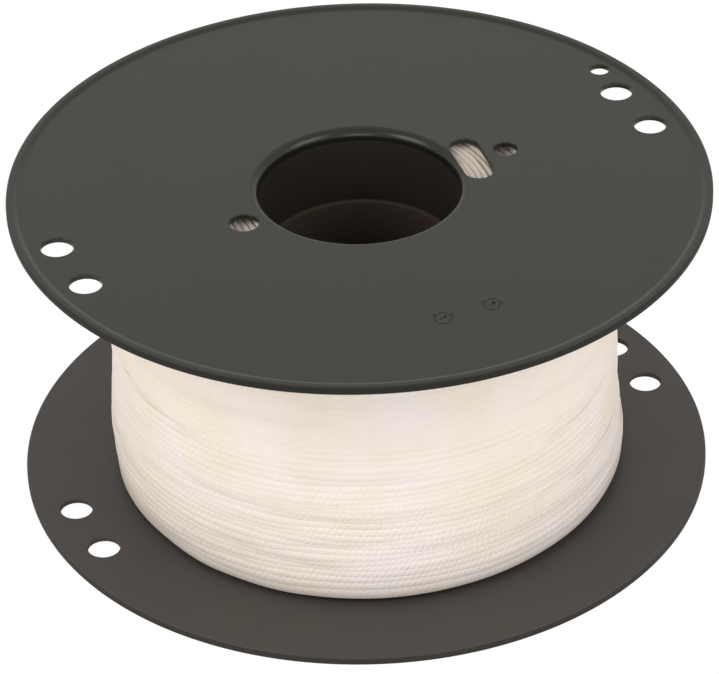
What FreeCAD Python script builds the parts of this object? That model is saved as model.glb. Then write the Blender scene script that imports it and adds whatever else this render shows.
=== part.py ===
import FreeCAD, Part
import Sketcher
import math
import os
import re

# A reel of racket string: two thin moulded flanges, a hub of two sleeves that telescope, and a full
# winding of white string between the flanges. The flanges are alike, turned to face outwards.
# Millimetres. Z is the reel's axis and points up. The origin is the middle of the ring it stands on.

doc = FreeCAD.newDocument("string_reel")

# Driving dimensions. Lengths are millimetres and angles are degrees from +X, seen from above.

SIZES = {
    # both flanges
    "flange_diameter": 140.0,
    "flange_thickness": 1.2,
    "rim_height": 0.5,
    "rim_width": 1.8,
    "edge_round": 0.4,
    # the space between the flanges, which the string fills
    "channel_width": 62.6,
    # hub
    "upper_bore_diameter": 40.0,
    "bore_round": 1.8,
    "outer_sleeve_wall": 1.0,
    "collar_height": 1.2,
    "inner_sleeve_wall": 0.95,
    "inner_sleeve_length": 48.6,
    "sleeve_clearance": 0.05,
    "sleeve_end_round": 0.4,
    # string-end holes near the rim, in two opposite pairs, and the small one beside the right pair;
    # insets are measured inwards from the flange's edge
    "rim_hole_diameter": 6.5,
    "rim_hole_inset": 7.8,
    "rim_pair_angle": 24.9,
    "rim_pair_half_angle": 6.6,
    "small_hole_diameter": 3.9,
    "small_hole_inset": 5.0,
    "small_hole_angle": 39.5,
    # holes and the slot beside the hub, for the string's inner end; offsets are measured outwards
    # from the wall of the bore, and the slot's shift runs along the slot
    "start_hole_diameter": 5.9,
    "start_hole_offset": 6.0,
    "start_hole_angle": 209.0,
    "peg_hole_diameter": 4.8,
    "peg_hole_offset": 11.8,
    "peg_hole_angle": 21.9,
    "slot_width": 6.0,
    "slot_length": 15.0,
    "slot_offset": 4.15,
    "slot_shift": 1.5,
    "slot_angle": 17.4,
    # two shallow moulded date rings on the outer face
    "date_ring_diameter": 4.4,
    "date_ring_width": 0.7,
    "date_ring_depth": 0.2,
    "date_ring_inset": 20.5,
    "date_ring_angle": -66.1,
    "date_ring_half_angle": 6.0,
    # the winding is fuller in its lower part than in its upper part
    "low_winding_diameter": 105.0,
    "high_winding_diameter": 101.6,
    "low_winding_height": 12.0,
    "shoulder_height": 16.0,
    "winding_clearance": 0.3,
    "turn_gap": 0.5,
}

# The outer layer is drawn with 24 turns, each as wide as two turns of the real 1.3 mm string.
OUTER_TURNS = 24

sheet = doc.addObject("Spreadsheet::Sheet", "sizes")
for row, (name, number) in enumerate(SIZES.items(), start=1):
    sheet.set(f"A{row}", name)
    sheet.set(f"B{row}", str(number))
    sheet.setAlias(f"B{row}", name)
doc.recompute()


def value(expression):
    return float(sheet.evalExpression(expression))


def in_sheet(expression):
    """The same expression, as every piece of the reel reads it."""
    return re.sub(r"[a-z]+(_[a-z]+)+", r"sizes.\g<0>", expression)


# Heights of the faces that stack up along the axis.
LOWER_INNER_FACE = "(rim_height + flange_thickness)"
UPPER_INNER_FACE = "(rim_height + flange_thickness + channel_width)"
UPPER_OUTER_FACE = "(rim_height + 2 * flange_thickness + channel_width)"
OVERALL_HEIGHT = "(2 * rim_height + 2 * flange_thickness + channel_width)"
LOWER_COLLAR_END = "(rim_height + flange_thickness + collar_height)"
UPPER_COLLAR_END = "(rim_height + flange_thickness + channel_width - collar_height)"

# Radii of the holes' centres, from the flange's edge or from the bore.
RIM_HOLE_RADIUS = "(flange_diameter / 2 - rim_hole_inset)"
SMALL_HOLE_RADIUS = "(flange_diameter / 2 - small_hole_inset)"
START_HOLE_RADIUS = "(upper_bore_diameter / 2 + start_hole_offset)"
PEG_HOLE_RADIUS = "(upper_bore_diameter / 2 + peg_hole_offset)"
SLOT_DISTANCE = "(upper_bore_diameter / 2 + slot_offset)"
DATE_RING_RADIUS = "(flange_diameter / 2 - date_ring_inset)"

# Radii that neighbouring pieces share.
HUB_RADIUS = "(upper_bore_diameter / 2 + outer_sleeve_wall)"
INNER_SLEEVE_RADIUS = "(upper_bore_diameter / 2 - sleeve_clearance)"
SPINDLE_BORE_RADIUS = "(upper_bore_diameter / 2 - sleeve_clearance - inner_sleeve_wall)"


def origin_plane(body, role):
    return next(item for item in body.Origin.OriginFeatures if item.Role == role)


def new_sketch(body, name, role, lift=None):
    """An empty drawing on a plane through the reel's origin, lifted along that plane's normal."""
    sketch = body.newObject("Sketcher::SketchObject", name)
    sketch.AttachmentSupport = [(origin_plane(body, role), "")]
    sketch.MapMode = "FlatFace"
    if lift:
        sketch.setExpression(".AttachmentOffset.Base.z", in_sheet(lift))
    return sketch


def constrain(sketch, kind, *place, expression):
    index = sketch.addConstraint(Sketcher.Constraint(kind, *place, value(expression)))
    sketch.setExpression(f"Constraints[{index}]", in_sheet(expression))


def spot(distance, angle, shift="0"):
    """X and Y of a point at a distance from the axis, at an angle, shifted to the left of that way."""
    x = f"(({distance}) * cos({angle}) - ({shift}) * sin({angle}))"
    y = f"(({distance}) * sin({angle}) + ({shift}) * cos({angle}))"
    return x, y


def add_circle(sketch, diameter, centre):
    """A circle round a centre given as a pair of expressions."""
    x, y = centre
    middle = FreeCAD.Vector(value(x), value(y), 0)
    up = FreeCAD.Vector(0, 0, 1)
    index = sketch.addGeometry(Part.Circle(middle, up, value(diameter) / 2), False)
    constrain(sketch, "Diameter", index, expression=diameter)
    constrain(sketch, "DistanceX", -1, 1, index, 3, expression=x)
    constrain(sketch, "DistanceY", -1, 1, index, 3, expression=y)


def add_outline(sketch, corners):
    """A closed outline of straight lines through corners given as pairs of expressions."""
    points = [FreeCAD.Vector(value(across), value(up), 0) for across, up in corners]
    first = sketch.GeometryCount
    for start, end in zip(points, points[1:] + points[:1]):
        sketch.addGeometry(Part.LineSegment(start, end), False)
    for number, (across, up) in enumerate(corners):
        line = first + number
        before = first + (number - 1) % len(corners)
        sketch.addConstraint(Sketcher.Constraint("Coincident", before, 2, line, 1))
        constrain(sketch, "DistanceX", -1, 1, line, 1, expression=across)
        constrain(sketch, "DistanceY", -1, 1, line, 1, expression=up)


def turned(body, name, corners):
    """A round shape about Z, whose outline is drawn as radius and height."""
    sketch = new_sketch(body, name + "_outline", "XZ_Plane")
    add_outline(sketch, corners)
    feature = body.newObject("PartDesign::Revolution", name)
    feature.Profile = sketch
    feature.ReferenceAxis = (sketch, ["V_Axis"])
    feature.Angle = 360
    doc.recompute()


def cut_away(body, name, sketch, depth=None, upwards=False):
    """A recess along Z: right through, or to a depth from the face it is drawn on."""
    before = body.Shape.Volume
    pocket = body.newObject("PartDesign::Pocket", name)
    pocket.Profile = sketch
    if depth:
        pocket.Type = "Length"
        pocket.setExpression("Length", in_sheet(depth))
        pocket.Reversed = upwards
    else:
        pocket.Type = "ThroughAll"
        pocket.Midplane = True
    doc.recompute()
    if not pocket.Shape.Volume < before:
        raise RuntimeError(name + " cuts nothing")


def circle_edges(shape, radius, height):
    """Names of the edges that are circles about Z of that radius, at that height."""
    names = []
    for number, edge in enumerate(shape.Edges, start=1):
        if not isinstance(edge.Curve, Part.Circle):
            continue
        centre = edge.Curve.Center
        on_axis = math.hypot(centre.x, centre.y) < 0.001
        if on_axis and abs(edge.Curve.Radius - radius) < 0.001 and abs(centre.z - height) < 0.001:
            names.append(f"Edge{number}")
    return names


def round_edges(body, name, places, radius):
    """Rounded circular edges about Z, at each radius and height."""
    base = body.Tip
    edges = []
    for across, up in places:
        found = circle_edges(base.Shape, value(across), value(up))
        if not found:
            raise RuntimeError(name + " finds no edge")
        edges += found
    fillet = body.newObject("PartDesign::Fillet", name)
    fillet.Base = (base, edges)
    fillet.setExpression("Radius", in_sheet(radius))
    doc.recompute()


def make_flange(label, inner_face, outer_face, rim_face, collar_end, facing_up):
    """A thin disc with a short collar round its bore, a raised bead round its rim, and its holes."""
    body = doc.addObject("PartDesign::Body", label)
    body.Label = label
    bore = "(upper_bore_diameter / 2)"
    rim = "(flange_diameter / 2)"
    bead = "(flange_diameter / 2 - rim_width)"
    corners = [(bore, collar_end), (HUB_RADIUS, collar_end), (HUB_RADIUS, inner_face)]
    corners += [(rim, inner_face), (rim, rim_face), (bead, rim_face)]
    corners += [(bead, outer_face), (bore, outer_face)]
    turned(body, label + "_disc", corners)
    round_edges(body, label + "_bore_edge", [(bore, outer_face)], "bore_round")
    rim_edges = [(rim, inner_face), (rim, rim_face), (bead, rim_face)]
    round_edges(body, label + "_rim_edges", rim_edges, "edge_round")

    holes = new_sketch(body, label + "_hole_circles", "XY_Plane")
    for pair in ("0", "180"):
        for side in ("-", "+"):
            angle = f"{pair} + rim_pair_angle {side} rim_pair_half_angle"
            add_circle(holes, "rim_hole_diameter", spot(RIM_HOLE_RADIUS, angle))
    add_circle(holes, "small_hole_diameter", spot(SMALL_HOLE_RADIUS, "small_hole_angle"))
    add_circle(holes, "start_hole_diameter", spot(START_HOLE_RADIUS, "start_hole_angle"))
    add_circle(holes, "peg_hole_diameter", spot(PEG_HOLE_RADIUS, "peg_hole_angle"))
    cut_away(body, label + "_holes", holes)

    # The slot is straight, with a round end as wide as the slot at each end of its middle part.
    first = "(slot_shift - (slot_length - slot_width) / 2)"
    last = "(slot_shift + (slot_length - slot_width) / 2)"
    for name, shift in (("first", first), ("last", last)):
        end = new_sketch(body, f"{label}_slot_{name}_end", "XY_Plane")
        add_circle(end, "slot_width", spot(SLOT_DISTANCE, "slot_angle", shift))
        cut_away(body, end.Name + "_cut", end)
    inside = f"({SLOT_DISTANCE} - slot_width / 2)"
    outside = f"({SLOT_DISTANCE} + slot_width / 2)"
    middle = new_sketch(body, label + "_slot_middle", "XY_Plane")
    sides = [(inside, first), (outside, first), (outside, last), (inside, last)]
    add_outline(middle, [spot(side, "slot_angle", shift) for side, shift in sides])
    cut_away(body, label + "_slot", middle)

    rings = new_sketch(body, label + "_date_circles", "XY_Plane", lift=outer_face)
    for side in ("-", "+"):
        centre = spot(DATE_RING_RADIUS, f"date_ring_angle {side} date_ring_half_angle")
        add_circle(rings, "date_ring_diameter", centre)
        add_circle(rings, "date_ring_diameter - 2 * date_ring_width", centre)
    cut_away(body, label + "_date_rings", rings, "date_ring_depth", upwards=not facing_up)
    return body


def make_sleeve(label, bore_radius, outer_radius, bottom, top, rounded_top):
    """A plain tube of the hub, with its top mouth rounded where it makes a ledge in the bore."""
    body = doc.addObject("PartDesign::Body", label)
    body.Label = label
    corners = [(bore_radius, bottom), (outer_radius, bottom)]
    corners += [(outer_radius, top), (bore_radius, top)]
    turned(body, label + "_tube", corners)
    if rounded_top:
        round_edges(body, label + "_mouth", [(bore_radius, top)], "sleeve_end_round")
    return body


lower_flange = make_flange(
    "lower_flange", LOWER_INNER_FACE, "rim_height", "0", LOWER_COLLAR_END, False
)
upper_flange = make_flange(
    "upper_flange", UPPER_INNER_FACE, UPPER_OUTER_FACE, OVERALL_HEIGHT, UPPER_COLLAR_END, True
)

# The outer sleeve stands between the flanges' collars and carries the string. The inner sleeve
# slides up inside it, through the lower flange, and its upper end is a ledge inside the bore.

outer_sleeve = make_sleeve(
    "outer_sleeve",
    "(upper_bore_diameter / 2)",
    HUB_RADIUS,
    LOWER_COLLAR_END,
    UPPER_COLLAR_END,
    False,
)
inner_sleeve = make_sleeve(
    "inner_sleeve",
    SPINDLE_BORE_RADIUS,
    INNER_SLEEVE_RADIUS,
    "rim_height",
    "(rim_height + inner_sleeve_length)",
    True,
)

# The outer layer's turns share the channel: they are as thick as the gaps between them allow.

TURN_DIAMETER = (
    f"((channel_width - 2 * winding_clearance - {OUTER_TURNS} * turn_gap) / {OUTER_TURNS + 1})"
)
LAYER_DEPTH = f"({TURN_DIAMETER} + winding_clearance)"
LOW_CORE_RADIUS = f"(low_winding_diameter / 2 - {LAYER_DEPTH})"
HIGH_CORE_RADIUS = f"(high_winding_diameter / 2 - {LAYER_DEPTH})"
SHOULDER_FOOT = f"({LOWER_INNER_FACE} + low_winding_height)"
SHOULDER_TOP = f"({LOWER_INNER_FACE} + low_winding_height + shoulder_height)"


def make_string_core():
    """The inner layers of the winding, as one plain ring that fills the channel."""
    body = doc.addObject("PartDesign::Body", "string_core")
    body.Label = "string_core"
    inside = f"({HUB_RADIUS} + winding_clearance)"
    corners = [
        (inside, LOWER_INNER_FACE),
        (LOW_CORE_RADIUS, LOWER_INNER_FACE),
        (LOW_CORE_RADIUS, SHOULDER_FOOT),
        (HIGH_CORE_RADIUS, SHOULDER_TOP),
        (HIGH_CORE_RADIUS, UPPER_INNER_FACE),
        (inside, UPPER_INNER_FACE),
    ]
    turned(body, "string_core_ring", corners)
    return body


string_core = make_string_core()

# The outer layer is one unbroken tube. Its centre line climbs the channel at a steady rate, on two
# arcs for each half turn, and keeps the same distance from the core.


def layer_radius(height):
    """Radius of the outer layer's centre line at a height."""
    low = value(LOW_CORE_RADIUS)
    high = value(HIGH_CORE_RADIUS)
    foot = value(SHOULDER_FOOT)
    top = value(SHOULDER_TOP)
    share = min(max((height - foot) / (top - foot), 0.0), 1.0)
    offset = value("winding_clearance") + value(TURN_DIAMETER) / 2
    return low + (high - low) * share + offset


def helix_point(angle, first_height, pitch):
    """A point of the centre line, at an angle in radians counted from the layer's start."""
    height = first_height + pitch * angle / (2 * math.pi)
    radius = layer_radius(height)
    return FreeCAD.Vector(radius * math.cos(angle), radius * math.sin(angle), height)


def helix_direction(angle, first_height, pitch):
    step = 0.001
    ahead = helix_point(angle + step, first_height, pitch)
    behind = helix_point(angle - step, first_height, pitch)
    return (ahead - behind).normalize()


def tangent_arc(start, corner, end):
    """The arc from start to end that touches both lines to the corner between them."""
    middle = (start + end) / 2
    half_chord = (end - start).Length / 2
    half_turn = math.atan2((corner - middle).Length, half_chord)
    rise = half_chord * math.tan(half_turn / 2)
    crown = middle + (corner - middle).normalize() * rise
    return Part.Arc(start, crown, end)


def biarc(start, start_way, end, end_way):
    """Two arcs that meet smoothly and leave and arrive in the given directions."""
    chord = end - start
    spread = 2 * (1 - start_way.dot(end_way))
    along = chord.dot(start_way + end_way)
    reach = (-along + math.sqrt(along * along + spread * chord.dot(chord))) / spread
    first_corner = start + start_way * reach
    last_corner = end - end_way * reach
    joint = (first_corner + last_corner) / 2
    return tangent_arc(start, first_corner, joint), tangent_arc(joint, last_corner, end)


def make_outer_layer():
    """The outer layer of string, from the lower flange up to the upper one."""
    thickness = value(TURN_DIAMETER)
    first_height = value(f"{LOWER_INNER_FACE} + winding_clearance") + thickness / 2
    last_height = value(f"{UPPER_INNER_FACE} - winding_clearance") - thickness / 2
    pitch = (last_height - first_height) / OUTER_TURNS
    half_turns = 2 * OUTER_TURNS

    curves = []
    for number in range(half_turns):
        from_angle = number * math.pi
        to_angle = (number + 1) * math.pi
        curves += biarc(
            helix_point(from_angle, first_height, pitch),
            helix_direction(from_angle, first_height, pitch),
            helix_point(to_angle, first_height, pitch),
            helix_direction(to_angle, first_height, pitch),
        )

    # Each cut end runs straight on for one thickness and lies against the layer below.
    start = helix_point(0, first_height, pitch)
    start_way = helix_direction(0, first_height, pitch)
    end = helix_point(half_turns * math.pi, first_height, pitch)
    end_way = helix_direction(half_turns * math.pi, first_height, pitch)
    tail = Part.LineSegment(start - start_way * thickness, start)
    head = Part.LineSegment(end, end + end_way * thickness)
    edges = [curve.toShape() for curve in [tail, *curves, head]]

    path = Part.Wire(edges)
    section = Part.Wire(Part.Circle(start - start_way * thickness, start_way, thickness / 2).toShape())
    tube = path.makePipeShell([section], True, False)
    expected = math.pi * thickness**2 / 4 * path.Length
    print(f"outer layer: {tube.Volume:.1f} mm3 against {expected:.1f} mm3 of section times length")
    print(f"outer layer: least gap to itself {least_gap(edges, thickness):.3f} mm")
    return tube


def least_gap(edges, thickness):
    """Least clear distance between stretches of the tube that are over a quarter turn apart."""
    points = []
    for edge in edges:
        points += edge.discretize(25)[:-1]
    per_turn = 4 * 24
    least = math.inf
    for index, point in enumerate(points):
        first = index + per_turn // 2
        for other in points[first : index + per_turn + per_turn // 2]:
            least = min(least, point.distanceToPoint(other))
    return least - thickness


outer_layer = doc.addObject("Part::Feature", "string_outer_layer")
outer_layer.Label = "string_outer_layer"
outer_layer.Shape = make_outer_layer()
outer_layer.Placement = FreeCAD.Placement()

doc.recompute()

PIECES = [lower_flange, upper_flange, outer_sleeve, inner_sleeve, string_core, outer_layer]

for item in doc.Objects:
    if "Invalid" in item.State or "Error" in item.State:
        raise RuntimeError(item.Name + " failed")
for piece in PIECES:
    if piece.Shape.isNull() or not piece.Shape.isValid():
        raise RuntimeError(piece.Label + " has no valid shape")

os.makedirs("parts", exist_ok=True)
for piece in PIECES:
    piece.Shape.exportStep(f"parts/{piece.Label}.step")
    box = piece.Shape.BoundBox
    print(f"{piece.Label}: {piece.Shape.Volume:.1f} mm3, z {box.ZMin:.2f} to {box.ZMax:.2f}")
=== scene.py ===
import math

import bmesh
import bpy
import numpy as np
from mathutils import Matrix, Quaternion, Vector


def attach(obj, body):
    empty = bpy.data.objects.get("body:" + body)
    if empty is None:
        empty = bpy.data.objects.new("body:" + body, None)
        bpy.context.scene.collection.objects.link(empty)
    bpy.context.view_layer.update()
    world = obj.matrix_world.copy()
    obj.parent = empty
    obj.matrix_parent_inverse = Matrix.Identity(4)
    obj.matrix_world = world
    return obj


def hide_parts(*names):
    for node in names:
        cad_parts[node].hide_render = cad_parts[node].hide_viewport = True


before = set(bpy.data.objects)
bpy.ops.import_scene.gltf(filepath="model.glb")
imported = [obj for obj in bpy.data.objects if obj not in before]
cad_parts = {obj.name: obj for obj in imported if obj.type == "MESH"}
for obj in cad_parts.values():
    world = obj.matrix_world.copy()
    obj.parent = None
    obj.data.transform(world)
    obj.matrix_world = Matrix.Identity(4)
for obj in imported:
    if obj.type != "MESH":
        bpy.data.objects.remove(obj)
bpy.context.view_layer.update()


# Camera. It stands in front of the reel and 35 degrees above it, far enough away for the two
# flanges to look almost equally large, and it is turned a little, so the reel leans to the left.

reel_middle = Vector((0, 0, 0.033))
camera_distance = 0.8722
camera_height = math.radians(34.704)
camera_turn = math.radians(-1.505)
photo_width = 719

away = Vector((0, -math.cos(camera_height), math.sin(camera_height)))
bpy.ops.object.camera_add(location=reel_middle + away * camera_distance)
camera = bpy.context.object
camera.rotation_mode = "QUATERNION"
look = (-away).to_track_quat("-Z", "Y")
camera.rotation_quaternion = look @ Quaternion((0, 0, 1), camera_turn)
camera.data.sensor_width = 36
camera.data.lens = 215.65
camera.data.shift_x = -3.2 / photo_width
camera.data.shift_y = -17.7 / photo_width
camera.data.clip_start = 0.05
bpy.context.scene.camera = camera
bpy.context.scene.view_settings.view_transform = "Standard"


# Studio. A white sweep with daylight from all round, and three soft boxes: one at each side and a
# weak one low in front. The eye and the gloss see white all round, and the paper beneath keeps the
# reel's own soft shadow.


def linear(hex_colour):
    """An sRGB hex colour as the linear red, green, blue and alpha that a shader takes."""
    channels = [int(hex_colour[place : place + 2], 16) / 255 for place in (1, 3, 5)]
    return [
        c / 12.92 if c <= 0.04045 else ((c + 0.055) / 1.055) ** 2.4 for c in channels
    ] + [1.0]


def add_node(tree, kind, settings=None, **links):
    """Adds a shader node. A link joins an input to another node's output or gives its value."""
    node = tree.nodes.new(kind)
    for name, setting in (settings or {}).items():
        setattr(node, name, setting)
    for name, source in links.items():
        place = int(name[1:]) if name[0] == "_" else name.replace("_", " ")
        if isinstance(source, bpy.types.NodeSocket):
            tree.links.new(source, node.inputs[place])
        else:
            node.inputs[place].default_value = source
    return node


def new_material(name):
    """An empty material, and its node tree."""
    material = bpy.data.materials.new(name)
    material.use_nodes = True
    material.node_tree.nodes.clear()
    return material, material.node_tree


daylight = 0.48
paper_glow = 0.9

world = bpy.data.worlds.new("studio_daylight")
world.use_nodes = True
bpy.context.scene.world = world
world.node_tree.nodes.clear()
rays = add_node(world.node_tree, "ShaderNodeLightPath")
seen = add_node(
    world.node_tree, "ShaderNodeMath", {"operation": "MAXIMUM"},
    _0=rays.outputs["Is Camera Ray"], _1=rays.outputs["Is Transmission Ray"],
)
seen = add_node(
    world.node_tree, "ShaderNodeMath", {"operation": "MAXIMUM"},
    _0=seen.outputs[0], _1=rays.outputs["Is Glossy Ray"],
)
strength = add_node(
    world.node_tree, "ShaderNodeMapRange",
    Value=seen.outputs[0], To_Min=daylight, To_Max=1.0,
)
sky = add_node(
    world.node_tree, "ShaderNodeBackground",
    Color=(1, 1, 1, 1), Strength=strength.outputs[0],
)
add_node(world.node_tree, "ShaderNodeOutputWorld", Surface=sky.outputs[0])

# Matt white paper, which looks almost as bright as the sweep behind it.
paper, tree = new_material("white_paper")
rays = add_node(tree, "ShaderNodeLightPath")
share = add_node(
    tree, "ShaderNodeMath", {"operation": "MULTIPLY"},
    _0=rays.outputs["Is Camera Ray"], _1=paper_glow,
)
matt = add_node(tree, "ShaderNodeBsdfDiffuse", Color=linear("#f7f7f7"))
glow = add_node(tree, "ShaderNodeEmission", Color=(1, 1, 1, 1), Strength=1.05)
sheet = add_node(
    tree, "ShaderNodeMixShader",
    _0=share.outputs[0], _1=matt.outputs[0], _2=glow.outputs[0],
)
add_node(tree, "ShaderNodeOutputMaterial", Surface=sheet.outputs[0])

bpy.ops.mesh.primitive_plane_add(size=6, location=(0, 0, 0))
floor = bpy.context.object
floor.name = "floor"
floor.data.materials.append(paper)

# Each soft box is half a metre square: one to the left, one to the right, and a weaker one low in
# front, which lights the string.
box_distance = 0.95
box_size = 0.5
soft_boxes = [
    ((-0.70, -0.38, 0.60), 3.3),
    ((0.70, -0.38, 0.60), 3.0),
    ((0.0, -0.93, 0.36), 1.6),
]
for direction, power in soft_boxes:
    towards = Vector(direction).normalized()
    bpy.ops.object.light_add(type="AREA", location=reel_middle + towards * box_distance)
    lamp = bpy.context.object
    lamp.rotation_mode = "QUATERNION"
    lamp.rotation_quaternion = (-towards).to_track_quat("-Z", "Y")
    lamp.data.size = box_size
    lamp.data.energy = power


# Upper flange. A thin disc of black polystyrene, moulded in a satin tool, with a raised bead round
# its rim, holes for the string's ends and two shallow date rings. It is moulded with its half of
# the hub. Its edges are left softly rounded by the tool.

flange_radius = 0.070
plate_thickness = 0.0012
rim_height = 0.0005
rim_width = 0.0018
rim_ramp = 0.0007
ramp_round = 0.0003
edge_round = 0.0004
bore_radius = 0.020
bore_round = 0.0018
collar_radius = 0.0210
collar_height = 0.0012
flange_sides = 320
reel_height = 0.066
plate_top = reel_height - rim_height
plate_bottom = plate_top - plate_thickness
hole_edge_round = 0.00025
hole_sides = 48


def add_primitive(add, name, **sizes):
    """Adds one primitive with nothing else selected, and gives it its name."""
    if bpy.context.object and bpy.context.object.mode != "OBJECT":
        bpy.ops.object.mode_set(mode="OBJECT")
    bpy.ops.object.select_all(action="DESELECT")
    add(**sizes)
    piece = bpy.context.object
    piece.name = name
    piece.data.name = name
    bpy.ops.object.transform_apply(location=True, rotation=True, scale=True)
    return piece


def pick(piece, faces=None, edges=None):
    """In edit mode, selects the faces or edges whose middle fits the rule, and nothing else."""
    bpy.ops.mesh.select_mode(type="FACE" if faces else "EDGE")
    bpy.ops.mesh.select_all(action="DESELECT")
    mesh = bmesh.from_edit_mesh(piece.data)
    for face in mesh.faces if faces else []:
        if faces(face.calc_center_median(), face.normal):
            face.select_set(True)
    for edge in mesh.edges if edges else []:
        if edges(edge.verts[0].co, edge.verts[1].co):
            edge.select_set(True)
    bmesh.update_edit_mesh(piece.data)


def at_ring(radius, height):
    """A rule for the edges of the circle about the axis with that radius and height."""

    def rule(a, b):
        return all(
            abs(math.hypot(p.x, p.y) - radius) < 2e-5 and abs(p.z - height) < 2e-5
            for p in (a, b)
        )

    return rule


def edit(piece):
    """Opens one piece, and nothing else, in edit mode."""
    bpy.ops.object.select_all(action="DESELECT")
    piece.select_set(True)
    bpy.context.view_layer.objects.active = piece
    bpy.ops.object.mode_set(mode="EDIT")


def done(piece, smooth_below=30):
    """Leaves edit mode and shades the piece smooth where it is softly curved."""
    bpy.ops.mesh.select_all(action="SELECT")
    bpy.ops.mesh.normals_make_consistent(inside=False)
    bpy.ops.object.mode_set(mode="OBJECT")
    bpy.ops.object.shade_smooth_by_angle(angle=math.radians(smooth_below))


upper_flange = add_primitive(
    bpy.ops.mesh.primitive_cylinder_add, "upper_flange_moulding",
    vertices=flange_sides, radius=flange_radius, depth=plate_thickness + rim_height,
    end_fill_type="NGON", location=(0, 0, (plate_bottom + reel_height) / 2),
)
edit(upper_flange)
pick(upper_flange, faces=lambda middle, normal: normal.z > 0.9)
bpy.ops.mesh.inset(thickness=rim_width - rim_ramp / 2)
bpy.ops.mesh.extrude_region_move(TRANSFORM_OT_translate={"value": (0, 0, -rim_height)})
ramp_top = flange_radius - rim_width + rim_ramp / 2
ramp_foot = flange_radius - rim_width - rim_ramp / 2
size = ramp_foot / ramp_top
bpy.ops.transform.resize(value=(size, size, 1), center_override=(0, 0, plate_top))
bpy.ops.mesh.inset(thickness=ramp_foot - bore_radius)
bpy.ops.mesh.delete(type="ONLY_FACE")
pick(upper_flange, faces=lambda middle, normal: normal.z < -0.9)
bpy.ops.mesh.inset(thickness=flange_radius - collar_radius)
bpy.ops.mesh.extrude_region_move(TRANSFORM_OT_translate={"value": (0, 0, -collar_height)})
bpy.ops.mesh.inset(thickness=collar_radius - bore_radius)
bpy.ops.mesh.delete(type="ONLY_FACE")
at_top = at_ring(bore_radius, plate_top)
at_bottom = at_ring(bore_radius, plate_bottom - collar_height)
pick(upper_flange, edges=lambda a, b: at_top(a, b) or at_bottom(a, b))
bpy.ops.mesh.bridge_edge_loops()
pick(upper_flange, edges=at_top)
bpy.ops.mesh.bevel(offset=bore_round, segments=8, affect="EDGES")
outer_edges = [
    at_ring(flange_radius, plate_bottom),
    at_ring(flange_radius, reel_height),
]
pick(upper_flange, edges=lambda a, b: any(rule(a, b) for rule in outer_edges))
bpy.ops.mesh.bevel(offset=edge_round, segments=4, affect="EDGES")
ramp_edges = [at_ring(ramp_top, reel_height), at_ring(ramp_foot, plate_top)]
pick(upper_flange, edges=lambda a, b: any(rule(a, b) for rule in ramp_edges))
bpy.ops.mesh.bevel(offset=ramp_round, segments=3, affect="EDGES")
done(upper_flange)


def flared_levels(wall):
    """Half-width and height down a punch whose ends flare out to round a hole's edges."""
    flare = hole_edge_round
    levels = [(wall + flare, plate_top + 0.001)]
    for step in range(5):
        turn = math.radians(90 - 22.5 * step)
        across = wall + flare - flare * math.cos(turn)
        levels.append((across, plate_top - flare + flare * math.sin(turn)))
    for step in range(5):
        turn = math.radians(22.5 * step)
        across = wall + flare - flare * math.cos(turn)
        levels.append((across, plate_bottom + flare - flare * math.sin(turn)))
    levels.append((wall + flare, plate_bottom - 0.001))
    return levels


def hole_cutter(angle, distance, diameter):
    """A round punch at an angle in degrees and a distance from the axis."""
    x = distance * math.cos(math.radians(angle))
    y = distance * math.sin(math.radians(angle))
    levels = flared_levels(diameter / 2)
    punch = add_primitive(
        bpy.ops.mesh.primitive_circle_add, "punch",
        vertices=hole_sides, radius=levels[0][0], fill_type="NGON",
        location=(x, y, levels[0][1]),
    )
    edit(punch)
    for (radius, height), (next_radius, next_height) in zip(levels, levels[1:]):
        bpy.ops.mesh.extrude_region_move(
            TRANSFORM_OT_translate={"value": (0, 0, next_height - height)}
        )
        size = next_radius / radius
        bpy.ops.transform.resize(value=(size, size, 1), center_override=(x, y, next_height))
    done(punch)
    return punch


def cut(piece, cutters):
    """Takes the cutters out of the piece, one after another, and removes them."""
    for cutter in cutters:
        bpy.context.view_layer.objects.active = piece
        boolean = piece.modifiers.new("cut", "BOOLEAN")
        boolean.operation = "DIFFERENCE"
        boolean.solver = "EXACT"
        boolean.object = cutter
        bpy.ops.object.modifier_apply(modifier=boolean.name)
        bpy.data.objects.remove(cutter)


# The slot is straight. Its punch is the same flared section, pushed from one round end to the
# other.
slot_distance = 0.02415
slot_width = 0.0060
slot_length = 0.0150
slot_shift = 0.0015
slot_angle = 17.4


def slot_place(shift):
    """Angle in degrees and distance from the axis of a point on the slot's middle line."""
    return (
        slot_angle + math.degrees(math.atan2(shift, slot_distance)),
        math.hypot(shift, slot_distance),
    )


def slot_cutter(first, last):
    """The punch for the slot's straight middle, with the same flared edges as the round ones."""
    levels = flared_levels(slot_width / 2)
    outline = [(slot_distance + across, height) for across, height in levels]
    outline += [(slot_distance - across, height) for across, height in reversed(levels)]
    punch = add_primitive(
        bpy.ops.mesh.primitive_circle_add, "slot_punch",
        vertices=len(outline), radius=0.001, fill_type="NGON",
    )
    outwards = Vector((math.cos(math.radians(slot_angle)), math.sin(math.radians(slot_angle)), 0))
    sideways = Vector((-outwards.y, outwards.x, 0))
    for vertex, (across, height) in zip(punch.data.vertices, outline):
        vertex.co = outwards * across + sideways * first + Vector((0, 0, height))
    edit(punch)
    bpy.ops.mesh.extrude_region_move(
        TRANSFORM_OT_translate={"value": sideways * (last - first)}
    )
    done(punch)
    return punch


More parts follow.
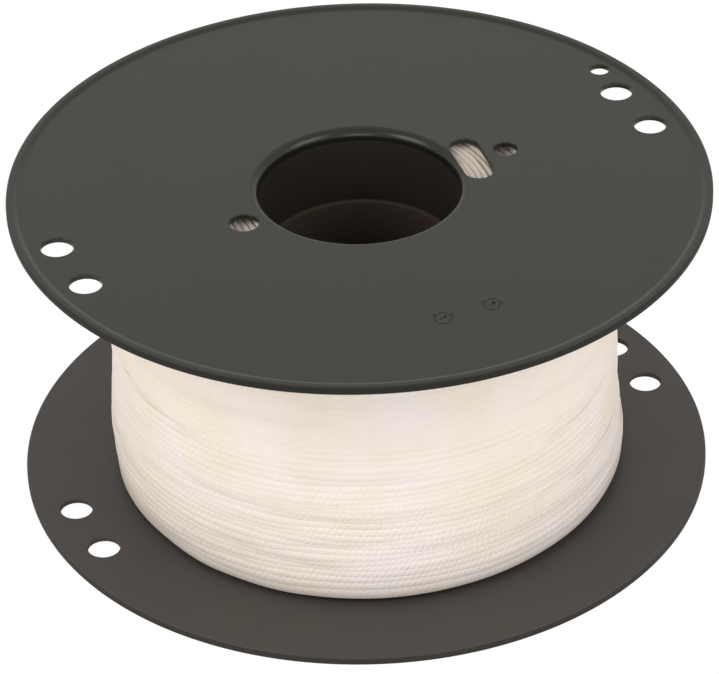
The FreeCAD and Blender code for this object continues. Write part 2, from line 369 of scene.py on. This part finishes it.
# Each round hole has an angle in degrees, a distance from the axis and a diameter: two pairs for
# the string's ends near the rim, a small one beside one pair, the hole where the string starts,
# and the peg's hole beside the slot.
rim_hole_angles = (24.9 - 6.6, 24.9 + 6.6, 204.9 - 6.6, 204.9 + 6.6)
rim_hole_distance = 0.0622
rim_hole_diameter = 0.0065
small_hole = (39.5, 0.0650, 0.0039)
start_hole = (209.0, 0.0260, 0.0059)
peg_hole = (21.9, 0.0318, 0.0048)
punches = [hole_cutter(angle, rim_hole_distance, rim_hole_diameter) for angle in rim_hole_angles]
punches += [hole_cutter(*hole) for hole in (small_hole, start_hole, peg_hole)]
slot_first = slot_shift - (slot_length - slot_width) / 2
slot_last = slot_shift + (slot_length - slot_width) / 2
for end in (slot_first, slot_last):
    end_angle, end_distance = slot_place(end)
    punches.append(hole_cutter(end_angle, end_distance, slot_width))
punches.append(slot_cutter(slot_first, slot_last))

# The two date rings are half-round grooves, a quarter of a millimetre deep, with a short pointer
# across the middle of each.
ring_distance = 0.0495
ring_angles = (-66.1 - 6.0, -66.1 + 6.0)
ring_radius = 0.00180
groove_radius = 0.00040
groove_middle = plate_top + 0.00015
for angle in ring_angles:
    middle = Vector((
        ring_distance * math.cos(math.radians(angle)),
        ring_distance * math.sin(math.radians(angle)),
        groove_middle,
    ))
    punches.append(add_primitive(
        bpy.ops.mesh.primitive_torus_add, "date_ring_punch",
        major_radius=ring_radius, minor_radius=groove_radius,
        major_segments=48, minor_segments=16, location=middle,
    ))
    punches.append(add_primitive(
        bpy.ops.mesh.primitive_cylinder_add, "pointer_punch",
        vertices=16, radius=groove_radius, depth=0.0016, location=middle,
        rotation=(math.radians(90), 0, math.radians(angle + 30)),
    ))
cut(upper_flange, punches)
bpy.ops.object.shade_smooth_by_angle(angle=math.radians(30))
flatten = upper_flange.modifiers.new("flat_plate", "WEIGHTED_NORMAL")
flatten.keep_sharp = True
bpy.ops.object.modifier_apply(modifier=flatten.name)


def black_polystyrene(name, colour, roughness, gloss):
    """Black plastic with the fine grain of a satin tool, a fiftieth of a millimetre deep."""
    material, tree = new_material(name)
    place = add_node(tree, "ShaderNodeTexCoord")
    grain = add_node(
        tree, "ShaderNodeTexNoise",
        Vector=place.outputs["Object"], Scale=2500.0, Detail=3.0, Roughness=0.6,
    )
    bloom = add_node(
        tree, "ShaderNodeTexNoise", Vector=place.outputs["Object"], Scale=60.0, Detail=6.0,
    )
    dull = add_node(
        tree, "ShaderNodeMapRange",
        Value=bloom.outputs[0], From_Min=0.3, From_Max=0.7,
        To_Min=roughness - 0.04, To_Max=roughness + 0.04,
    )
    relief = add_node(
        tree, "ShaderNodeBump", Strength=0.25, Distance=0.00002, Height=grain.outputs[0]
    )
    plastic = add_node(
        tree, "ShaderNodeBsdfPrincipled",
        Base_Color=linear(colour), Roughness=dull.outputs[0], IOR=1.55, Specular_IOR_Level=gloss,
        Normal=relief.outputs[0],
    )
    add_node(tree, "ShaderNodeOutputMaterial", Surface=plastic.outputs[0])
    return material


# The plate has the tool's satin sheen and looks dark grey with a touch of green. The rim is rubbed
# dull by handling, and the rounded edge of the bore is smoother and catches the light; its colour
# is a little darker, painted shade on the bore's lip.
flange_plastic = black_polystyrene("satin_black_polystyrene", "#232418", 0.30, 0.30)
bore_plastic = black_polystyrene("polished_shaded_lip_polystyrene", "#1c1c16", 0.26, 0.27)
rim_plastic = black_polystyrene("rubbed_black_polystyrene", "#24231e", 0.5, 0.12)
upper_flange.data.materials.clear()
upper_flange.data.materials.append(flange_plastic)
upper_flange.data.materials.append(rim_plastic)
upper_flange.data.materials.append(bore_plastic)
for face in upper_flange.data.polygons:
    from_axis = math.hypot(face.center.x, face.center.y)
    around_rim = from_axis > flange_radius - 0.00035
    face.material_index = 1 if around_rim and abs(face.normal.z) < 0.8 else 0
    # The bore's rounded lip takes the glossier plastic, whose darker colour is painted shade.
    if from_axis < bore_radius + bore_round:
        face.material_index = 2
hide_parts("upper_flange")
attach(upper_flange, "root")


# Lower flange. The same moulding turned over, so its bead is underneath and the reel stands on it.

lower_flange = upper_flange.copy()
lower_flange.data = upper_flange.data.copy()
bpy.context.scene.collection.objects.link(lower_flange)
lower_flange.name = "lower_flange_moulding"
lower_flange.data.name = "lower_flange_moulding"
edit(lower_flange)
bpy.ops.mesh.select_all(action="SELECT")
bpy.ops.transform.resize(value=(1, 1, -1), center_override=(0, 0, reel_height / 2))
done(lower_flange)
flatten = lower_flange.modifiers.new("flat_plate", "WEIGHTED_NORMAL")
flatten.keep_sharp = True
bpy.ops.object.modifier_apply(modifier=flatten.name)

# Its upward face is painted paler and warmer than the upper flange, a painted reflection of the
# white string above it, and it is duller.
lower_plastic = black_polystyrene("reflection_painted_polystyrene", "#3f3a36", 0.55, 0.35)
lower_flange.data.materials[0] = lower_plastic
lower_rim = black_polystyrene("worn_rim_polystyrene", "#302b25", 0.5, 0.2)
lower_flange.data.materials[1] = lower_rim
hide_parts("lower_flange")
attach(lower_flange, "root")


# Hub. Two plain tubes of the same black polystyrene, one on each flange. The upper one carries the
# string, and the lower one slides up inside it and ends as a ledge in the bore.

hub_radius = 0.0210
lower_plate_top = 0.0017
inner_tube_wall = 0.00095
inner_tube_outside = 0.01995
inner_tube_bottom = 0.0005
inner_tube_top = 0.0491
tube_sides = 192


def add_tube(name, inside, outside, bottom, top, mouth_round):
    """A tube about the reel's axis, made from a cylinder whose ends are inset and bridged."""
    tube = add_primitive(
        bpy.ops.mesh.primitive_cylinder_add, name,
        vertices=tube_sides, radius=outside, depth=top - bottom,
        end_fill_type="NGON", location=(0, 0, (top + bottom) / 2),
    )
    edit(tube)
    for up in (1, -1):
        pick(tube, faces=lambda middle, normal: normal.z * up > 0.9)
        bpy.ops.mesh.inset(thickness=outside - inside)
        bpy.ops.mesh.delete(type="ONLY_FACE")
    high = at_ring(inside, top)
    low = at_ring(inside, bottom)
    pick(tube, edges=lambda a, b: high(a, b) or low(a, b))
    bpy.ops.mesh.bridge_edge_loops()
    pick(tube, edges=high)
    bpy.ops.mesh.bevel(offset=mouth_round, segments=3, affect="EDGES")
    done(tube)
    return tube


outer_tube = add_tube(
    "hub_outer_tube", bore_radius, hub_radius,
    lower_plate_top + collar_height, plate_bottom - collar_height, 0.00005,
)
inner_tube = add_tube(
    "hub_inner_tube", inner_tube_outside - inner_tube_wall, inner_tube_outside,
    inner_tube_bottom, inner_tube_top, 0.0004,
)

# Neither tube is polished: the bore is nearly black, and the inner tube is painted a paler, warmer
# brown, painted light in the lower bore.
hub_plastic = black_polystyrene("dull_black_polystyrene", "#231e19", 0.65, 0.13)
inner_plastic = black_polystyrene("light_painted_bore_polystyrene", "#3c322b", 0.65, 0.13)
outer_tube.data.materials.append(hub_plastic)
inner_tube.data.materials.append(inner_plastic)
for tube, node in ((outer_tube, "outer_sleeve"), (inner_tube, "inner_sleeve")):
    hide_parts(node)
    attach(tube, "root")


# String, inner layers. Off-white twisted nylon wound in level turns from the hub outwards. Only
# the turns against each flange show, through the holes beside the hub, so the rest is plain.

string_thickness = 0.0013
channel_bottom = lower_plate_top
channel_top = plate_bottom
string_inside = 0.0214
inner_radius = 0.0501
skin_depth = 0.0009

# The winding's radius in millimetres, at nine heights for each of twelve angles. It is fuller low
# down and in front, and slimmer on its left.
level_heights = [2, 7, 13, 20, 27, 34, 46, 56, 64]
winding_sections = {
    -185: [50.9, 51.7, 52.0, 51.5, 50.9, 50.8, 50.8, 50.9, 51.0],
    -165: [51.0, 51.5, 51.8, 51.6, 51.2, 51.0, 50.9, 50.9, 51.0],
    -145: [51.0, 51.5, 51.7, 51.7, 51.5, 51.3, 51.0, 50.9, 51.0],
    -125: [52.0, 51.9, 51.9, 51.8, 51.6, 51.5, 51.1, 51.0, 51.0],
    -105: [52.9, 52.4, 52.1, 51.9, 51.7, 51.5, 51.2, 51.0, 51.0],
    -85: [53.1, 52.7, 52.3, 52.0, 51.8, 51.5, 51.2, 51.0, 51.0],
    -65: [53.1, 52.6, 52.3, 52.0, 51.8, 51.6, 51.2, 51.0, 51.0],
    -45: [52.6, 52.4, 52.2, 52.0, 51.8, 51.6, 51.2, 51.0, 51.0],
    -25: [52.5, 52.5, 52.2, 51.9, 51.8, 51.6, 51.2, 51.0, 51.0],
    -5: [52.5, 53.0, 52.3, 51.6, 51.6, 51.4, 51.1, 51.0, 51.0],
    15: [52.4, 52.9, 52.3, 51.6, 51.3, 51.1, 51.0, 51.0, 51.0],
    95: [51.8, 52.2, 52.1, 51.7, 51.4, 51.2, 51.1, 51.0, 51.0],
    175: [50.9, 51.7, 52.0, 51.5, 50.9, 50.8, 50.8, 50.9, 51.0],
}


def soft_step(value):
    """Rises from 0 to 1 with no corner at either end."""
    value = np.clip(value, 0, 1)
    return value * value * (3 - 2 * value)


def winding_radius(angle, height):
    """How far out the winding reaches at an angle in degrees and a height, both arrays."""
    angles = np.array(list(winding_sections))
    sections = np.array(list(winding_sections.values())) / 1000
    place = np.searchsorted(angles, angle, side="right").clip(1, len(angles) - 1)
    share = soft_step((angle - angles[place - 1]) / (angles[place] - angles[place - 1]))
    heights = np.array(level_heights) / 1000
    at_level = np.stack([np.interp(height, heights, row) for row in sections])
    column = np.arange(len(np.atleast_1d(height)))
    return at_level[place - 1, column] * (1 - share) + at_level[place, column] * share


# How far each layer's end turn lies from the flange, in millimetres, from the hub outwards.
dips = [0.6, 0.8, 0.7, 0.7, 0.9, 0.8, 1.1, 1.6, 1.7, 1.4, 0.9]


def inner_outline():
    """Radius and height round the wound ring's section, with a bulge for each end turn."""
    outline = []
    layers = int((inner_radius - 0.0006 - string_inside) / string_thickness)
    half = string_thickness / 2
    for layer in range(layers):
        middle = string_inside + half + layer * string_thickness
        for step in range(6):
            turn = math.pi - math.pi * step / 6
            crest = channel_top - 0.0001 - 0.001 * dips[layer % len(dips)]
            outline.append((middle + half * math.cos(turn), crest - half + half * math.sin(turn)))
    for height in np.linspace(channel_top - 0.0020, channel_bottom + 0.0020, 24):
        outline.append((inner_radius, float(height)))
    for layer in reversed(range(layers)):
        middle = string_inside + half + layer * string_thickness
        for step in range(6):
            turn = -math.pi * step / 6
            crest = channel_bottom + 0.0001 + 0.001 * dips[layer % len(dips)]
            outline.append((middle + half * math.cos(turn), crest + half + half * math.sin(turn)))
    return outline


outline = inner_outline()
inner_layers = add_primitive(
    bpy.ops.mesh.primitive_circle_add, "string_inner_layers",
    vertices=len(outline), radius=0.001, fill_type="NOTHING",
)
for vertex, (across, height) in zip(inner_layers.data.vertices, outline):
    vertex.co = (across, 0, height)
edit(inner_layers)
bpy.ops.mesh.select_all(action="SELECT")
bpy.ops.mesh.spin(steps=200, angle=2 * math.pi, center=(0, 0, 0), axis=(0, 0, 1))
bpy.ops.mesh.select_all(action="SELECT")
bpy.ops.mesh.remove_doubles(threshold=1e-6)
done(inner_layers, smooth_below=50)

# The ring's skin follows the outer layer just beneath it, and its end turns lie unevenly.
spots = np.empty(len(inner_layers.data.vertices) * 3)
inner_layers.data.vertices.foreach_get("co", spots)
spots = spots.reshape(-1, 3)
distance = np.hypot(spots[:, 0], spots[:, 1])
angle = np.degrees(np.arctan2(spots[:, 1], spots[:, 0]))
skin = distance > inner_radius - 0.00001
beneath = winding_radius(angle, spots[:, 2]) - skin_depth
spots[skin, :2] *= (beneath / distance)[skin, None]
uneven = np.sin(np.radians(angle * 7) + distance * 4000)
uneven += np.sin(np.radians(angle * 17) - distance * 2300)
spots[:, 2] -= np.where(skin, 0, 0.00008 * uneven * np.sign(spots[:, 2] - reel_height / 2))

# The first turns have sunk a little where the string starts, beneath the start hole.
beside_start = np.exp(-(((angle + 151) / 16) ** 2)) * np.exp(-(((distance - 0.026) / 0.004) ** 2))
spots[:, 2] -= np.where(spots[:, 2] > channel_top - 0.0040, 0.0008, 0) * beside_start
inner_layers.data.vertices.foreach_set("co", spots.ravel())
inner_layers.data.update()


# String, outer layer. One unbroken strand, laid in 46 level turns that press against each other.
# The turns wander a little and lie in soft ridges, with shallow grooves between them.

strand_half_height = 0.00023
strand_half_width = 0.00106
strand_turns = 46
strand_steps = 200
strand_sides = 9

# Soft grooves where one level of turns presses into the next: angle from and to in degrees, the
# height at each end, the depth and the half-width, in millimetres.
grooves = [
    (-165, -126, 35.3, 33.0, 0.48, 0.9),
    (-130, -108, 29.4, 29.0, 0.14, 0.9),
    (-112, -70, 30.6, 30.0, 0.24, 1.2),
    (-50, -18, 28.0, 30.6, 0.50, 0.9),
    (-150, -76, 23.4, 19.3, 0.42, 1.1),
    (-62, -32, 20.6, 18.0, 0.14, 0.9),
    (-42, -10, 15.6, 17.2, 0.60, 0.9),
    (-128, -95, 11.6, 9.6, 0.26, 1.1),
    (-110, -90, 13.7, 15.0, 0.18, 1.0),
    (-175, -147, 15.8, 12.1, 0.32, 1.4),
    (-140, -115, 7.3, 8.5, 0.26, 1.0),
    (-50, -20, 10.9, 9.6, 0.20, 1.1),
    (-162, -145, 26.5, 25.7, 0.20, 1.0),
    (-60, -20, 40.0, 38.5, 0.25, 1.2),
    (-150, -95, 42.0, 43.5, 0.25, 1.2),
    (10, 80, 20.0, 24.0, 0.35, 1.2),
    (60, 140, 34.0, 30.0, 0.35, 1.2),
    (20, 100, 44.0, 41.0, 0.30, 1.2),
    (110, 185, 14.0, 18.0, 0.35, 1.2),
    (120, 190, 46.0, 48.0, 0.30, 1.2),
    (-20, 40, 10.0, 12.0, 0.30, 1.2),
    (-30, 30, 52.0, 50.0, 0.28, 1.2),
    (80, 150, 55.0, 53.0, 0.28, 1.2),
]


def groove_depth(angle, height):
    """Depth of the grooves at an angle in degrees and a height in millimetres."""
    depth = np.zeros_like(angle)
    for start, end, first, last, deepest, half_width in grooves:
        for lap in (-360, 0, 360):
            share = (angle + lap - start) / (end - start)
            line = first + (last - first) * share
            window = soft_step(share * 4) * soft_step((1 - share) * 4)
            depth += deepest * window * np.exp(-(((height - line) / half_width) ** 2))
    return depth


turn = np.linspace(0, strand_turns, strand_turns * strand_steps + 1)
angle = (turn * 360.0 + 180) % 360 - 180
radians = np.radians(turn * 360.0)
lowest = channel_bottom + strand_half_width + 0.00005
highest = channel_top - strand_half_width - 0.00005
level = lowest + (highest - lowest) * turn / strand_turns
millimetres = level * 1000
sway = (
    0.5 * np.sin(np.radians(angle + 40) + millimetres * 0.23)
    + 0.3 * np.sin(2 * np.radians(angle) - millimetres * 0.41 + 1.0)
    + 0.15 * np.sin(3 * np.radians(angle) + millimetres * 0.77 + 2.0)
)
edge = soft_step((millimetres - 1.7) / 6) * soft_step((64.3 - millimetres) / 6)
level = level + 0.001 * sway * edge
millimetres = level * 1000
ripple = (
    0.05 * np.sin(5 * np.radians(angle) + millimetres * 0.9)
    + 0.04 * np.sin(9 * np.radians(angle) - millimetres * 1.3 + 1.0)
)
hollow = groove_depth(angle, millimetres)
radius = winding_radius(angle, level) + 0.001 * (ripple - 0.6 * hollow)
radius -= strand_half_height
ends = np.minimum(turn, strand_turns - turn) * 360.0
radius = radius - 0.0012 * (1 - soft_step(ends / 12))

centre = np.stack([radius * np.cos(radians), radius * np.sin(radians), level], axis=1)
outward = np.stack([np.cos(radians), np.sin(radians), np.zeros_like(radians)], axis=1)
along = np.gradient(centre, axis=0)
along /= np.linalg.norm(along, axis=1)[:, None]
across = np.cross(along, outward)
across /= np.linalg.norm(across, axis=1)[:, None]
outward = np.cross(across, along)
around = np.linspace(0, 2 * np.pi, strand_sides, endpoint=False)
points = (
    centre[:, None, :]
    + strand_half_height * np.cos(around)[None, :, None] * outward[:, None, :]
    + strand_half_width * np.sin(around)[None, :, None] * across[:, None, :]
)
rings = len(centre)
faces = []
for ring in range(rings - 1):
    for side in range(strand_sides):
        nearer = ring * strand_sides + side
        beside = ring * strand_sides + (side + 1) % strand_sides
        faces.append((nearer, beside, beside + strand_sides, nearer + strand_sides))
faces.append(tuple(reversed(range(strand_sides))))
faces.append(tuple(range((rings - 1) * strand_sides, rings * strand_sides)))
mesh = bpy.data.meshes.new("string_outer_layer")
mesh.from_pydata(points.reshape(-1, 3).tolist(), [], faces)
outer_layer = bpy.data.objects.new("string_strand", mesh)
bpy.context.scene.collection.objects.link(outer_layer)

# Each corner of the strand's skin keeps its place along and around the strand, in strand widths.
run = np.concatenate([[0], np.cumsum(np.linalg.norm(np.diff(centre, axis=0), axis=1))])
run = run / string_thickness
unrolled = mesh.uv_layers.new(name="along_strand")
corners = np.zeros((len(mesh.loops), 2))
for ring in range(rings - 1):
    first = ring * strand_sides * 4
    for side in range(strand_sides):
        spot = first + side * 4
        near, far = side / strand_sides, (side + 1) / strand_sides
        corners[spot : spot + 4, 0] = (run[ring], run[ring], run[ring + 1], run[ring + 1])
        corners[spot : spot + 4, 1] = (near, far, far, near)
unrolled.data.foreach_set("uv", corners.ravel())
# Each corner also keeps the groove's depth, which the material turns into painted shade.
shaded = mesh.attributes.new("hollow", "FLOAT", "POINT")
shaded.data.foreach_set("value", np.repeat(hollow, strand_sides))
edit(outer_layer)
done(outer_layer, smooth_below=80)


def nylon_string(name, cream, white, foot_shade, hollow_shade):
    """Off-white twisted nylon: soft plies in uneven tones, with painted shade at its foot and in
    its grooves.
    """
    material, tree = new_material(name)
    strand_map = add_node(tree, "ShaderNodeUVMap", {"uv_map": "along_strand"})
    parts = add_node(tree, "ShaderNodeSeparateXYZ", Vector=strand_map.outputs[0])
    lay = add_node(
        tree, "ShaderNodeMath", {"operation": "MULTIPLY_ADD"},
        _0=parts.outputs["Y"], _1=3.0, _2=parts.outputs["X"],
    )
    wave = add_node(
        tree, "ShaderNodeMath", {"operation": "MULTIPLY"}, _0=lay.outputs[0], _1=math.pi
    )
    ply = add_node(tree, "ShaderNodeMath", {"operation": "SINE"}, _0=wave.outputs[0])
    ply = add_node(tree, "ShaderNodeMath", {"operation": "ABSOLUTE"}, _0=ply.outputs[0])
    relief = add_node(
        tree, "ShaderNodeBump", Strength=0.45, Distance=0.00011, Height=ply.outputs[0]
    )
    place = add_node(tree, "ShaderNodeTexCoord")
    patch = add_node(
        tree, "ShaderNodeTexNoise", Vector=place.outputs["Object"], Scale=60.0, Detail=2.0
    )
    tint = add_node(tree, "ShaderNodeValToRGB", Fac=patch.outputs[0])
    tint.color_ramp.elements[0].position = 0.35
    tint.color_ramp.elements[0].color = linear(cream)
    tint.color_ramp.elements[1].position = 0.65
    tint.color_ramp.elements[1].color = linear(white)
    # Painted shade: the string grows darker towards its foot, where the lower flange shades it.
    height = add_node(tree, "ShaderNodeSeparateXYZ", Vector=place.outputs["Object"])
    shade = add_node(
        tree, "ShaderNodeMapRange",
        Value=height.outputs["Z"], From_Min=0.0020, From_Max=0.0075, To_Min=foot_shade, To_Max=1.0,
    )
    # Painted shade in the grooves: the deeper the groove, the darker the string.
    hollow = add_node(tree, "ShaderNodeAttribute", {"attribute_name": "hollow"})
    sunk = add_node(
        tree, "ShaderNodeMapRange", Value=hollow.outputs["Fac"], To_Min=1.0, To_Max=hollow_shade
    )
    shade = add_node(
        tree, "ShaderNodeMath", {"operation": "MULTIPLY"}, _0=shade.outputs[0], _1=sunk.outputs[0]
    )
    colour = add_node(
        tree, "ShaderNodeVectorMath", {"operation": "SCALE"},
        Vector=tint.outputs[0], Scale=shade.outputs[0],
    )
    fibre = add_node(
        tree, "ShaderNodeBsdfPrincipled",
        Base_Color=colour.outputs[0], Roughness=0.6, IOR=1.5, Normal=relief.outputs[0],
    )
    add_node(tree, "ShaderNodeOutputMaterial", Surface=fibre.outputs[0])
    return material


# The twisted strand is soft and matt, warm white with faint yellower patches, with painted shade
# at its foot and in its grooves. The inner layers are the same string, painted greyer as the shade
# they lie in.
outer_string = nylon_string("twisted_nylon_string", "#f2e5d4", "#f5eae3", 0.65, 0.78)
inner_string = nylon_string("shade_painted_nylon_string", "#ddd0c0", "#e1d5cd", 1.0, 1.0)
inner_layers.data.materials.append(inner_string)
outer_layer.data.materials.append(outer_string)
for piece, node in ((inner_layers, "string_core"), (outer_layer, "string_outer_layer")):
    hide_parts(node)
    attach(piece, "root")
